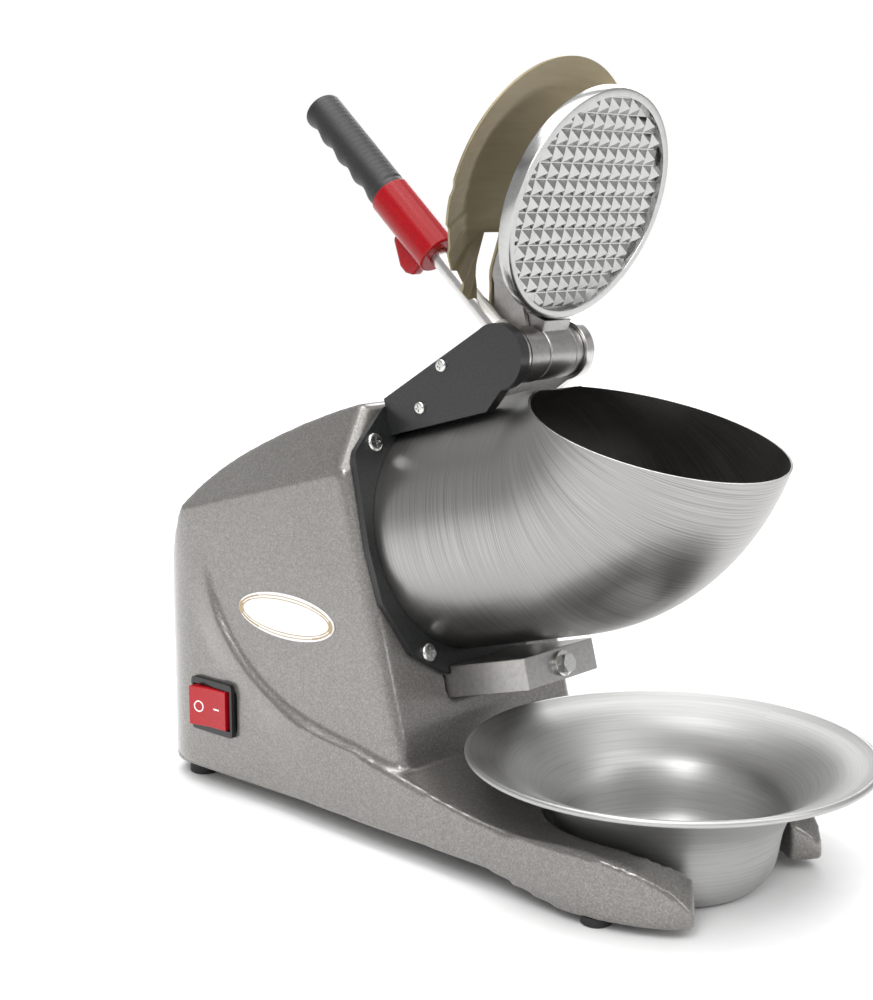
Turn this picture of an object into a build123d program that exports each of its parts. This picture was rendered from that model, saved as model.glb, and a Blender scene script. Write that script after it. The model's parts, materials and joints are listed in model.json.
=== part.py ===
from build123d import *
import math
import os

# Countertop shaved ice machine, in millimetres.
# Frame: the front (hopper and bowl) faces -Y, +X is across, +Z is up.
# Sizes along Y are measured from just behind the flange. write() then moves every part back by
# ORIGIN_SHIFT, so that the origin is on the counter under the middle of the whole machine.

# ---------------------------------------------------------------- driving sizes
ORIGIN_SHIFT = 30.9
AXIS_TILT = 15.0          # the hopper and the motor shaft lean up towards the front
FLANGE_Y = -5.0           # where the hopper axis meets the flange face
FLANGE_Z = 165.0
HOPPER_R = 67.0           # outside radius of the hopper tube
HOPPER_WALL = 1.2
HOPPER_STRAIGHT = 84.0    # flange face to the start of the bend
MOUTH_SLOPE = 15.0        # the mouth plane falls towards the front
MOUTH_DROP = 15.5         # the mouth plane below the hinge axis
MOUTH_RELIEF_R = 21.0     # the mouth is cut back round the hinge barrel

HALF_WIDTH = 76.0         # housing, half across
HOUSING_WALL = 4.0
HOUSING_REAR = 186.0      # rearmost point of the housing
HOUSING_BOTTOM = 12.0
HOUSING_TOP = 79.0        # above the hopper axis, square to it
CORNER_R = 44.0           # plan radius of the rear corners
SKIRT = 3.2               # the fork stands proud of the flanks by this much
FORK_TAIL_Y = 110.0       # where the fork grows out of the flanks

PRONG_TIP_Y = -208.0
PRONG_HALF = 84.0         # half across the fork at the front feet
PRONG_TIP_HALF = 60.0
PRONG_TOP = 36.0
PRONG_WALL = 4.0
PRONG_TIP_WIDTH = 14.0
DECK_TOP = 50.0
FORK_R = 65.0             # the round opening between the prongs
FOOT_R = 9.0
FORK_BOTTOM = 5.0

PLATE_R = 61.5            # press plate
PLATE_T = 8.0
PLATE_REACH = 82.0        # hinge axis to the plate's centre
PLATE_ANGLE = 71.0        # the plate's arm at rest, up from straight ahead
PYRAMID_H = 3.4
RIM_WIDTH = 4.5
HANDLE_ANGLE = 138.0      # the lever's rod at rest, up from straight ahead
HANDLE_X = -21.0
ROD_R = 5.5
ROD_START = 11.0
GRIP_START = 124.0
GRIP_END = 198.0
GRIP_R = 11.0
SLEEVE_START = 75.0
SLEEVE_R = 12.0
LID_R = 70.0              # splash guard
LID_REACH = 80.0
LID_OFFSET = 32.0         # behind the plane of the hinge
LID_T = 1.6
LID_CROWN = 7.0

PIN_R = 5.0
BARREL_R = 15.0
RUNNING_GAP = 0.05        # shaft in bore, on the radius
FACE_GAP = 0.4            # between faces that turn against each other
LOOSE_GAP = 0.3           # between other pieces that pass through each other

DISC_R = 62.0             # blade disc
DISC_T = 4.0
SHAFT_R = 6.0
MOTOR_R = 42.0
MOTOR_LENGTH = 92.0
CHAMBER_DEPTH = 34.0
CHAMBER_WALL = 3.0

BOWL_RIM_R = 105.0
BOWL_RIM_Z = 67.0
BOWL_FOOT_R = 46.0
BOWL_BODY_R = 59.5        # passes between the prongs
BOWL_BODY_Z = 32.0
BOWL_LOW = 0.5
BOWL_Y = -151.0
BOWL_WALL = 1.2

SWITCH_W = 36.0           # bezel, along the machine
SWITCH_H = 32.0
SWITCH_Y = 121.0
SWITCH_Z = 53.0
BADGE_W = 78.0
BADGE_H = 26.0
BADGE_Y = 58.0
BADGE_Z = 118.0

SCREW_R = 4.2             # pan heads
SCREW_SHANK = 2.0

# ---------------------------------------------------------------- helpers
os.makedirs("parts", exist_ok=True)
TILT = math.radians(AXIS_TILT)
# Head frame: x across, y up square to the hopper, z along the hopper to the front.
HEAD = Plane(origin=(0, FLANGE_Y, FLANGE_Z), x_dir=(1, 0, 0),
             z_dir=(0, -math.cos(TILT), math.sin(TILT)))
BEND_R = 85.0             # hopper axis to the hinge axis
HINGE = (HEAD * Pos(0, BEND_R, HOPPER_STRAIGHT)).position


def in_head(shape):
    """Place a shape made in the head frame."""
    return HEAD * shape


def at_hinge(angle, offset_x=0.0):
    """A frame on the hinge axis: z runs out along the angle above straight ahead."""
    a = math.radians(angle)
    return Plane(origin=(offset_x, HINGE.Y, HINGE.Z), x_dir=(1, 0, 0),
                 z_dir=(0, -math.cos(a), math.sin(a)))


def x_cylinder(radius, x0, x1, y=0.0, z=0.0):
    """A cylinder along X from x0 to x1."""
    return Pos((x0 + x1) / 2, y, z) * Rot(0, 90, 0) * Cylinder(radius, abs(x1 - x0))


def ring(outer, inner, z0, z1):
    """A ring about Z."""
    height = z1 - z0
    return Pos(0, 0, (z0 + z1) / 2) * (Cylinder(outer, height) - Cylinder(inner, height + 1))


def block(x0, x1, y0, y1, z0, z1):
    """A box between two corners."""
    return Pos((x0 + x1) / 2, (y0 + y1) / 2, (z0 + z1) / 2) * Box(x1 - x0, y1 - y0, z1 - z0)


def prism_x(points, x0, x1):
    """A (y, z) outline carried along X from x0 to x1."""
    face = make_face(Polyline(*points, close=True))
    return Pos(x0, 0, 0) * (Plane.YZ * extrude(face, amount=x1 - x0, dir=(0, 0, 1)))


def pan_screw(length, head_r=SCREW_R, shank_r=SCREW_SHANK):
    """A pan-head screw: head above z = 0, shank below."""
    head = Pos(0, 0, 1.1) * Cylinder(head_r, 2.2)
    head = fillet(head.edges().group_by(Axis.Z)[-1], 1.4)
    slot = Pos(0, 0, 1.9) * (Box(head_r * 1.1, 0.9, 1.0) + Box(0.9, head_r * 1.1, 1.0))
    shank = Pos(0, 0, -length / 2) * Cylinder(shank_r, length)
    return head - slot + shank


def write(name, shape):
    """One named sub-part per file."""
    solids = [Pos(0, ORIGIN_SHIFT, 0) * solid for solid in shape.solids()]
    moved = solids[0] if len(solids) == 1 else Compound(children=solids)
    moved.label = name
    export_step(moved, f"parts/{name}.step")


# ---------------------------------------------------------------- housing
def housing_outline(inset):
    """The housing's side outline, as a face in YZ."""
    rear = HOUSING_REAR - inset
    low = HOUSING_BOTTOM - (1 if inset else 0)
    face_z = -4.0 - inset
    top = (HEAD * Pos(0, HOUSING_TOP - inset, face_z)).position
    foot_t = (low - FLANGE_Z - face_z * math.sin(TILT)) / math.cos(TILT)
    foot = (HEAD * Pos(0, foot_t, face_z)).position
    dome = Spline([(top.Y, top.Z), (96, 212 - inset), (146 - inset * 0.6, 176 - inset * 0.6),
                   (rear - 8, 96), (rear, 40)],
                  tangents=[(math.cos(TILT), -math.sin(TILT)), (0, -1)])
    edges = [dome, Line((rear, 40), (rear, low)), Line((rear, low), (foot.Y, low)),
             Line((foot.Y, low), (top.Y, top.Z))]
    return Plane.YZ * make_face(edges)


def housing_body(inset):
    """Side outline, plan outline and front outline together."""
    half = HALF_WIDTH - inset
    side = extrude(housing_outline(inset), amount=half + 5, both=True)
    length = HOUSING_REAR + 120
    plan = RectangleRounded(2 * half, length - inset, CORNER_R - inset)
    plan = Pos(0, (HOUSING_REAR - 120 - inset) / 2, 0) * extrude(plan, amount=400)
    shoulder = 44.0 - inset * 0.4
    roof = [(half, -260), (half, shoulder), (46 - inset * 0.5, HOUSING_TOP + 4 - inset)]
    roof = roof + [(-x, y) for x, y in reversed(roof)]
    front = extrude(make_face(Polyline(*roof, close=True)), amount=500, both=True)
    return side & plan & in_head(front)


def fork_outline(inset):
    """The plan of the fork: it leaves the sides of the housing and curves in to two tips."""
    tail = FORK_TAIL_Y
    front = PRONG_HALF - inset
    tip = PRONG_TIP_HALF - inset
    tip_in = PRONG_TIP_HALF - PRONG_TIP_WIDTH + inset
    nose_y = PRONG_TIP_Y + inset
    side = Spline([(HALF_WIDTH - 1 - inset, tail), (HALF_WIDTH + SKIRT - inset, 20),
                   (front, -120), (front - 1, -162), (tip, nose_y)],
                  tangents=[(0, -1), (-0.85, -0.53)])
    wide = FORK_R + inset
    mouth_y = BOWL_Y - math.sqrt(wide ** 2 - tip_in ** 2)
    nose = Line((tip, nose_y), (tip_in, mouth_y))
    bay = ThreePointArc((tip_in, mouth_y), (wide, BOWL_Y), (0, BOWL_Y + wide))
    middle = Line((0, BOWL_Y + wide), (0, tail))
    back = Line((0, tail), (HALF_WIDTH - 1 - inset, tail))
    half_face = make_face([side, nose, bay, middle, back])
    return half_face + mirror(half_face, Plane.YZ)


def fork_profile(inset):
    """The side view of the fork: falling from the housing's flanks to low prongs."""
    low = 0 if inset else FORK_BOTTOM
    top = Spline([(FORK_TAIL_Y + 2, 74 - inset), (40, 58 - inset), (-40, DECK_TOP - 5 - inset),
                  (-110, PRONG_TOP - inset), (-180, PRONG_TOP - 2 - inset),
                  (-201 + inset, 22 - inset * 0.5), (PRONG_TIP_Y - 1 + inset, low)])
    arch = HOUSING_BOTTOM if not inset else low
    bottom = Polyline((PRONG_TIP_Y - 1 + inset, low), (-145, low), (-95, arch), (FORK_TAIL_Y + 2, arch))
    back = Line((FORK_TAIL_Y + 2, arch), (FORK_TAIL_Y + 2, 74 - inset))
    return extrude(Plane.YZ * make_face([top, bottom, back]), amount=120, both=True)


def fork_body(inset):
    """Plan and side view together."""
    return extrude(fork_outline(inset), amount=120) & fork_profile(inset)


outer = housing_body(0)
inner = housing_body(HOUSING_WALL)
front_face = outer.faces().sort_by(Axis.Y)[0]
outer = fillet(front_face.edges().filter_by(lambda e: e.center().Z > HOUSING_BOTTOM + 5), 7)
pocket = fork_body(PRONG_WALL) & block(-120, 120, -300, -46, -1, 100)
housing = (outer + fork_body(0)) - inner - pocket
throat_r = HOPPER_R + LOOSE_GAP
chute_half = 30.0
chute_low = -90.0
chute_top = -72.4
housing -= in_head(Pos(0, 0, -8) * Cylinder(throat_r, 14))
housing -= in_head(block(-chute_half - LOOSE_GAP, chute_half + LOOSE_GAP, chute_low - LOOSE_GAP,
                         chute_top + 6, -12, -2))

# Flange plate, a rounded hexagon round the hopper's foot
FLANGE_T = 4.0
COLLAR_T = 1.5
COLLAR_R = 71.5
half_plate = [(41, 75), (70, 52), (73, 0), (71, -30), (56, -61), (32, -76)]
plate_outline = half_plate + [(-x, y) for x, y in reversed(half_plate)]
flange_face = make_face(Polyline(*plate_outline, close=True))
flange_plate = Pos(0, 0, -FLANGE_T) * extrude(flange_face, amount=FLANGE_T)
flange_plate = fillet(flange_plate.edges().filter_by(Axis.Z), 8)
flange_plate -= Pos(0, 0, -FLANGE_T / 2) * Cylinder(HOPPER_R + LOOSE_GAP / 2, FLANGE_T + 1)
flange_plate -= Pos(0, 0, -FLANGE_T + COLLAR_T / 2) * Cylinder(COLLAR_R + LOOSE_GAP, COLLAR_T)
screw_spots = [(54, 56), (-54, 56), (44, -62), (-44, -62)]
flange_screws = []
for x, y in screw_spots:
    flange_plate -= Pos(x, y, -FLANGE_T / 2) * Cylinder(SCREW_SHANK, FLANGE_T + 1)
    housing -= in_head(Pos(x, y, -8) * Cylinder(SCREW_SHANK, 12))
    flange_screws.append(in_head(Pos(x, y, 0) * pan_screw(7.8, 5.2)))

# Hopper: straight tube, then a bend about the hinge axis, cut by a sloping mouth plane
hopper_in = HOPPER_R - HOPPER_WALL
bend_centre = (0, BEND_R, HOPPER_STRAIGHT)


def hopper_solid(radius, start):
    """The filled hopper shape, tube and bend."""
    tube = Pos(0, 0, (HOPPER_STRAIGHT + start) / 2) * Cylinder(radius, HOPPER_STRAIGHT - start)
    circle = Pos(0, 0, HOPPER_STRAIGHT) * Circle(radius)
    axis = Axis(bend_centre, (-1, 0, 0))
    bend = revolve(circle, axis=axis, revolution_arc=80)
    return tube + bend


hopper = hopper_solid(HOPPER_R, -FLANGE_T) - hopper_solid(hopper_in, -FLANGE_T - 1)
hopper += ring(COLLAR_R, HOPPER_R - 0.5, -FLANGE_T, -FLANGE_T + COLLAR_T)
hopper = in_head(hopper)
mouth = at_hinge(-MOUTH_SLOPE)
hopper -= mouth * block(-100, 100, -MOUTH_DROP, 300, -100, 300)
hopper -= x_cylinder(MOUTH_RELIEF_R, -40, 40, HINGE.Y, HINGE.Z)

# ---------------------------------------------------------------- bottom
well = RectangleRounded(2 * (HALF_WIDTH - HOUSING_WALL), HOUSING_REAR + 36 - HOUSING_WALL, 30)
well = Pos(0, (HOUSING_REAR - HOUSING_WALL - 36) / 2, -1) * extrude(well, amount=HOUSING_BOTTOM + 2)
housing -= well
COVER_T = 2.0
COVER_Z = HOUSING_BOTTOM - COVER_T
cover_face = RectangleRounded(2 * (HALF_WIDTH - HOUSING_WALL - LOOSE_GAP),
                              HOUSING_REAR + 36 - HOUSING_WALL - 2 * LOOSE_GAP, 29.7)
cover_y = (HOUSING_REAR - HOUSING_WALL - 36) / 2
bottom_cover = Pos(0, cover_y, COVER_Z) * extrude(cover_face, amount=COVER_T)
vents = [Pos(0, 50 + 9 * n, COVER_Z + 1) * Box(60, 4, COVER_T + 1) for n in range(7)]
bottom_cover -= vents
post_spots = [(60, 40), (-60, 40), (38, 168), (-38, 168)]
cover_screws = []
cover_posts = []
for x, y in post_spots:
    bottom_cover -= Pos(x, y, COVER_Z + 1) * Cylinder(SCREW_SHANK, COVER_T + 1)
    cover_screws.append(Pos(x, y, COVER_Z) * Rot(180, 0, 0) * pan_screw(8))
    post = Pos(x, y, HOUSING_BOTTOM + 6) * Cylinder(5, 12)
    cover_posts.append(post - Pos(x, y, HOUSING_BOTTOM + 4) * Cylinder(SCREW_SHANK, 8.4))
REAR_FOOT = (56, 156)
FRONT_FOOT = (74, -160)
rubber_feet = []
for side in (1, -1):
    pad = Pos(side * REAR_FOOT[0], REAR_FOOT[1], COVER_Z / 2) * Cylinder(FOOT_R, COVER_Z)
    rubber_feet.append(chamfer(pad.edges().group_by(Axis.Z)[0], 1))
    pad = Pos(side * FRONT_FOOT[0], FRONT_FOOT[1], FORK_BOTTOM / 2) * Cylinder(8, FORK_BOTTOM)
    pad = chamfer(pad.edges().group_by(Axis.Z)[0], 1)
    rubber_feet.append(pad + Pos(side * FRONT_FOOT[0], FRONT_FOOT[1], 7) * Cylinder(2.5, 6))

# ---------------------------------------------------------------- ice chamber and chute
CHAMBER_R = 70.0
chamber_in = CHAMBER_R - CHAMBER_WALL
chamber_front = -4.0 - HOUSING_WALL
chamber_rear = chamber_front - CHAMBER_DEPTH
CHUTE_WALL = 3.0
CHUTE_END = 55.0
chute_in = chute_half - CHUTE_WALL
ice_chamber = ring(CHAMBER_R, chamber_in, chamber_rear, chamber_front)
ice_chamber += ring(CHAMBER_R, 14, chamber_rear - CHAMBER_WALL, chamber_rear)
ice_chamber -= block(-chute_in, chute_in, -CHAMBER_R - 2, -50, chamber_rear + 2, chamber_front - 3)
# the chute hangs under the chamber and leads out below the hopper
discharge_chute = block(-chute_half, chute_half, chute_low, chute_top, chamber_rear, CHUTE_END)
discharge_chute -= block(-chute_in, chute_in, chute_low + CHUTE_WALL, chute_top + 1,
                         chamber_rear + CHUTE_WALL, chamber_front)
discharge_chute -= block(-chute_in, chute_in, chute_low + CHUTE_WALL, chute_top - CHUTE_WALL,
                         chamber_front - 1, CHUTE_END - CHUTE_WALL)
discharge_chute -= block(-chute_in, chute_in, chute_low - 1, chute_low + CHUTE_WALL + 1,
                         8, CHUTE_END - CHUTE_WALL)
discharge_chute -= block(-chute_half - 1, chute_half + 1, -76.3, chute_top + 1,
                         -FLANGE_T - LOOSE_GAP, LOOSE_GAP)
chute_bolt = Pos(0, (chute_low + chute_top) / 2, CHUTE_END) * (
    Pos(0, 0, 2) * extrude(RegularPolygon(5.5, 6), amount=4) + Pos(0, 0, 1) * Cylinder(7, 2)
    + Pos(0, 0, -1.4) * Cylinder(3, 2.8))
discharge_chute -= Pos(0, (chute_low + chute_top) / 2, CHUTE_END - 1.5) * Cylinder(3, 3.4)

# ---------------------------------------------------------------- cutter and motor
disc_front = -10.0
blade_disc = ring(DISC_R, SHAFT_R, disc_front - DISC_T, disc_front)
blade_disc += ring(16, SHAFT_R, disc_front - DISC_T - 10, disc_front - DISC_T)
blades = []
blade_screws = []
for turn in (0, 180):
    spin = Rot(0, 0, turn)
    slot = Pos(36, 0, disc_front - DISC_T / 2) * Box(44, 9, DISC_T + 1)
    blade_disc -= spin * slot
    blade = Pos(36, 8.5, disc_front + 0.75) * Box(42, 12, 1.5)
    holes = [Pos(x, 9.5, disc_front + 0.75) * Cylinder(1.6, 3) for x in (24, 48)]
    blades.append(spin * (blade - holes))
    for x in (24, 48):
        blade_disc -= spin * Pos(x, 9.5, disc_front - 2) * Cylinder(1.6, DISC_T + 1)
        blade_screws.append(spin * Pos(x, 9.5, disc_front + 1.5) * pan_screw(5, 3.0, 1.6))
disc_nut = Pos(0, 0, disc_front) * (extrude(RegularPolygon(9, 6), amount=5) - Cylinder(SHAFT_R, 20))
motor_front = chamber_rear - CHAMBER_WALL
motor_rear = motor_front - MOTOR_LENGTH
drive_shaft = Pos(0, 0, (motor_rear - 10 + disc_front + 7) / 2) * Cylinder(
    SHAFT_R, disc_front + 7 - (motor_rear - 10))
END_WALL = 4.0
BEARING_R = 13.0
BEARING_T = 8.0
bore = SHAFT_R + RUNNING_GAP
motor_can = ring(MOTOR_R, MOTOR_R - 3, motor_rear, motor_front)
motor_can += ring(MOTOR_R, BEARING_R, motor_rear, motor_rear + END_WALL)
motor_can += ring(MOTOR_R, BEARING_R, motor_front - END_WALL, motor_front)
motor_vents = [Rot(0, 0, 30 * n) * Pos(32, 0, motor_rear + 2) * Box(10, 5, END_WALL + 1)
               for n in range(12)]
motor_can -= motor_vents
front_bearing = ring(BEARING_R, bore, motor_front - BEARING_T, motor_front)
rear_bearing = ring(BEARING_R, bore, motor_rear, motor_rear + BEARING_T)
shaft_seal = ring(14, bore, chamber_rear - CHAMBER_WALL, chamber_rear)
stator = ring(MOTOR_R - 3, 26, motor_rear + 20, motor_front - 14)
rotor = ring(25, SHAFT_R, motor_rear + 20, motor_front - 14)
hub = ring(10, SHAFT_R, motor_rear - 9, motor_rear - 1)
cooling_fan = hub
for n in range(7):
    cooling_fan += Rot(0, 0, n * 360 / 7) * Pos(20, 0, motor_rear - 5) * Rot(25, 0, 0) * Box(24, 1.5, 8)
motor_bolts = []
for n in range(4):
    spot = Rot(0, 0, 45 + 90 * n) * Pos(28, 0, 0)
    bolt = Pos(0, 0, chamber_rear) * extrude(RegularPolygon(4.5, 6), amount=3)
    shank = Pos(0, 0, chamber_rear - 3.5) * Cylinder(2.5, 7)
    motor_bolts.append(spot * (bolt + shank))
    ice_chamber -= spot * Pos(0, 0, chamber_rear - 1.5) * Cylinder(2.5, 4)
    motor_can -= spot * Pos(0, 0, motor_front - 2) * Cylinder(2.5, 5)

# Electrical pieces on the floor of the housing
run_capacitor = Pos(30, 60, HOUSING_BOTTOM + 16) * Rot(90, 0, 0) * Cylinder(15, 54)
capacitor_clip = block(12, 48, 54, 64, HOUSING_BOTTOM, HOUSING_BOTTOM + 33)
capacitor_clip -= Pos(30, 60, HOUSING_BOTTOM + 16) * Rot(90, 0, 0) * Cylinder(15 + LOOSE_GAP, 60)
capacitor_clip = capacitor_clip.solids().sort_by(SortBy.VOLUME)[-1]
terminal_block = block(-50, -10, 60, 76, HOUSING_BOTTOM, HOUSING_BOTTOM + 14)
for n in range(4):
    terminal_block -= Pos(-45 + 10 * n, 68, HOUSING_BOTTOM + 12) * Cylinder(3, 6)
GLAND_Z = 30.0
gland_body = Rot(90, 0, 0) * Cylinder(6, 22)
gland_nose = Pos(0, 7, 0) * Rot(90, 0, 0) * Cylinder(9, 8)
cable_gland = Pos(0, HOUSING_REAR - 1, GLAND_Z) * (gland_body + gland_nose)
cable_gland += Pos(0, HOUSING_REAR - HOUSING_WALL - 3, GLAND_Z) * Rot(90, 0, 0) * Cylinder(9, 4)
cable_gland -= Pos(0, HOUSING_REAR, GLAND_Z) * Rot(90, 0, 0) * Cylinder(3.4, 60)
housing -= Pos(0, HOUSING_REAR, GLAND_Z) * Rot(90, 0, 0) * Cylinder(6, 20)

# ---------------------------------------------------------------- switch and badge
wall_x = -HALF_WIDTH
bezel_t = 3.0
body_y = SWITCH_W / 2 - 2.5
body_z = SWITCH_H / 2 - 2.5
well_y = SWITCH_W / 2 - 1.7
well_z = SWITCH_H / 2 - 3.8
switch_spot = Pos(0, SWITCH_Y, SWITCH_Z)
bezel_face = block(wall_x - bezel_t, wall_x, -SWITCH_W / 2, SWITCH_W / 2, -SWITCH_H / 2, SWITCH_H / 2)
bezel_face = fillet(bezel_face.edges().filter_by(Axis.X), 2)
switch_body = block(wall_x, wall_x + 26, -body_y, body_y, -body_z, body_z)
ROCKER_IN = 8.5
switch_well = block(wall_x - 5, wall_x + ROCKER_IN, -well_y, well_y, -well_z, well_z)
inner_wall = block(wall_x, wall_x + ROCKER_IN + 3, -SWITCH_W / 2, SWITCH_W / 2, -body_z, body_z)
housing -= switch_spot * block(wall_x - 8, wall_x + 8, -SWITCH_W / 2, SWITCH_W / 2, -body_z, body_z)
switch_bezel = switch_spot * (bezel_face + inner_wall + switch_body - switch_well)
rocker_outline = [(14, 8.5), (0, 5.2), (-14, 4.6), (-13, -3), (13, -3)]
rocker_points = [(wall_x - out, SWITCH_Y + dy) for dy, out in rocker_outline]
ROCKER_HALF_H = well_z - 0.4
rocker_face = make_face(Polyline(*rocker_points, close=True))
rocker = Pos(0, 0, SWITCH_Z - ROCKER_HALF_H) * extrude(rocker_face, amount=2 * ROCKER_HALF_H)
ROCKER_PIN_R = 1.5
rocker -= Pos(wall_x, SWITCH_Y, SWITCH_Z) * Cylinder(ROCKER_PIN_R + RUNNING_GAP, 40)
rocker_pin = Pos(wall_x, SWITCH_Y, SWITCH_Z) * Cylinder(ROCKER_PIN_R, 2 * (well_z + 1.2))
switch_bezel -= rocker_pin
badge = extrude(Ellipse(BADGE_W / 2, BADGE_H / 2), amount=1.0)
name_badge = Plane(origin=(wall_x, BADGE_Y, BADGE_Z), x_dir=(0, -1, 0), z_dir=(-1, 0, 0)) * badge

# ---------------------------------------------------------------- hinge bracket and switch cover
ARM_L = (-33.0, -29.5)
ARM_R = (17.4, 24.0)
COVER_X = -40.0
BOSS_R = 16.0


def arm_side(low, boss_r, tail_top):
    """The side view of a bracket arm in the head frame: (along, up)."""
    up = BEND_R
    points = [(0, low), (HOPPER_STRAIGHT - 13, low), (HOPPER_STRAIGHT, up - boss_r + 0.5),
              (HOPPER_STRAIGHT + 3, up), (HOPPER_STRAIGHT - 6, up + boss_r - 1.2), (0, tail_top)]
    return points


def head_prism(points, x0, x1):
    """An (along, up) outline in the head frame, carried along X."""
    return prism_x([(up, along) for along, up in points], x0, x1)


def boss(radius, x0, x1):
    """A disc about the hinge axis, in the head frame."""
    return x_cylinder(radius, x0, x1, BEND_R, HOPPER_STRAIGHT)


tube_at = {x: math.sqrt(HOPPER_R ** 2 - x ** 2) for x in (ARM_L[1], ARM_R[0], ARM_L[0])}
left_low = tube_at[ARM_L[1]] + LOOSE_GAP
right_low = tube_at[ARM_R[0]] + LOOSE_GAP
hinge_bracket = head_prism(arm_side(left_low, BOSS_R, 77), *ARM_L) + boss(BOSS_R, *ARM_L)
hinge_bracket += head_prism(arm_side(right_low, BOSS_R, 77), *ARM_R) + boss(BOSS_R, *ARM_R)
hinge_bracket += block(ARM_L[0], ARM_R[1], HOPPER_R + 0.8, 77, 0, 3.5)
hinge_bracket -= boss(PIN_R + RUNNING_GAP, -50, 40)
cover_low = tube_at[ARM_L[0]] + LOOSE_GAP
switch_cover = head_prism(arm_side(cover_low, BOSS_R + 1.5, 79), COVER_X, ARM_L[0])
switch_cover += boss(BOSS_R + 1.5, COVER_X, ARM_L[0])
switch_cover -= boss(11, COVER_X + 2, ARM_L[0] + 1)
switch_cover -= block(COVER_X + 2, ARM_L[0] + 1, 78, 92, 52, 80)
limit_switch = block(COVER_X + 2.5, ARM_L[0] - 0.2, 79.5, 90, 54, 73)
cover_spots = [(47, 88), (26, 69)]
for along, up in cover_spots:
    hole = Pos(-34, up, along) * Rot(0, 90, 0) * Cylinder(SCREW_SHANK, 30)
    switch_cover -= hole
    hinge_bracket -= hole
cover_bolts = [in_head(Pos(COVER_X, up, along) * Rot(0, -90, 0) * pan_screw(9.5, 3.6))
               for along, up in cover_spots]
bracket_screws = []
for x in (-22, 8):
    hinge_bracket -= Pos(x, 74, 2) * Cylinder(SCREW_SHANK - 0.2, 5)
    flange_plate -= Pos(x, 74, -2) * Cylinder(SCREW_SHANK - 0.2, 5)
    bracket_screws.append(in_head(Pos(x, 74, 3.5) * pan_screw(7.3, 2.8, SCREW_SHANK - 0.2)))

# ---------------------------------------------------------------- lever
COLLAR_X = (HANDLE_X - 6.6, HANDLE_X + 6.6)
HUB_X = (-11.0, 11.0)
EAR_L = (COLLAR_X[1] + FACE_GAP, HUB_X[0] - FACE_GAP)
EAR_R = (HUB_X[1] + FACE_GAP, ARM_R[0] - FACE_GAP)
WASHER_X = (ARM_L[1], COLLAR_X[0] - FACE_GAP)
PIN_HEAD_X = (ARM_R[1] + FACE_GAP, ARM_R[1] + FACE_GAP + 3)


def about_hinge(radius, x0, x1):
    """A disc about the hinge axis, in place."""
    return x_cylinder(radius, x0, x1, HINGE.Y, HINGE.Z)


pin_bore = about_hinge(PIN_R, -60, 60)
hinge_pin = about_hinge(PIN_R, COVER_X + 3, PIN_HEAD_X[1]) + about_hinge(8, *PIN_HEAD_X)
hinge_washer = about_hinge(BARREL_R, *WASHER_X) - about_hinge(PIN_R + RUNNING_GAP, -60, 60)
switch_cam = about_hinge(9, COVER_X + 3.2, ARM_L[0] - FACE_GAP)
switch_cam -= at_hinge(HANDLE_ANGLE - 90) * block(-60, 0, -12, 12, 7, 12)
switch_cam -= pin_bore
handle = at_hinge(HANDLE_ANGLE, HANDLE_X)
rod_socket = handle * Pos(0, 0, 13) * Cylinder(ROD_R + 1.1, 14)
lever_collar = about_hinge(BARREL_R, *COLLAR_X) + rod_socket - pin_bore
lever_rod = handle * Pos(0, 0, (ROD_START + GRIP_END - 6) / 2) * Cylinder(
    ROD_R, GRIP_END - 6 - ROD_START)
lever_collar -= lever_rod
sleeve_length = GRIP_START - SLEEVE_START
TRIGGER_Z = (SLEEVE_START + 5, SLEEVE_START + 29)
TRIGGER_HALF = 4.0
TRIGGER_TRAVEL = 3.5
red_sleeve = Pos(0, 0, SLEEVE_START + sleeve_length / 2) * Cylinder(SLEEVE_R, sleeve_length)
red_sleeve = chamfer(red_sleeve.edges().filter_by(GeomType.CIRCLE), 0.8)
red_sleeve -= Pos(0, 0, SLEEVE_START + sleeve_length / 2) * Cylinder(ROD_R, sleeve_length + 2)
slot_half = TRIGGER_HALF + LOOSE_GAP
red_sleeve -= block(-slot_half, slot_half, ROD_R, 20, TRIGGER_Z[0] - LOOSE_GAP, TRIGGER_Z[1] + LOOSE_GAP)
trigger_low = SLEEVE_R + 10
trigger_side = [(ROD_R + TRIGGER_TRAVEL + 0.3, TRIGGER_Z[0]), (trigger_low - 3, TRIGGER_Z[0]),
                (trigger_low, TRIGGER_Z[0] + 5), (trigger_low, TRIGGER_Z[0] + 10),
                (SLEEVE_R + 2, TRIGGER_Z[1]), (ROD_R + TRIGGER_TRAVEL + 0.3, TRIGGER_Z[1])]
trigger = prism_x(trigger_side, -TRIGGER_HALF, TRIGGER_HALF)
grip_length = GRIP_END - GRIP_START
grip = Pos(0, 0, GRIP_START + grip_length / 2) * Cylinder(GRIP_R, grip_length)
grip = fillet(grip.edges().group_by(Axis.Z)[-1], 4)
for n in range(4):
    z = GRIP_START + 13 + 16 * n
    grip -= Pos(0, GRIP_R + 6.8, z) * Rot(0, 90, 0) * Cylinder(8.4, 40)
grip -= Pos(0, 0, GRIP_START + (grip_length - 7) / 2) * Cylinder(ROD_R, grip_length - 5)

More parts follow.
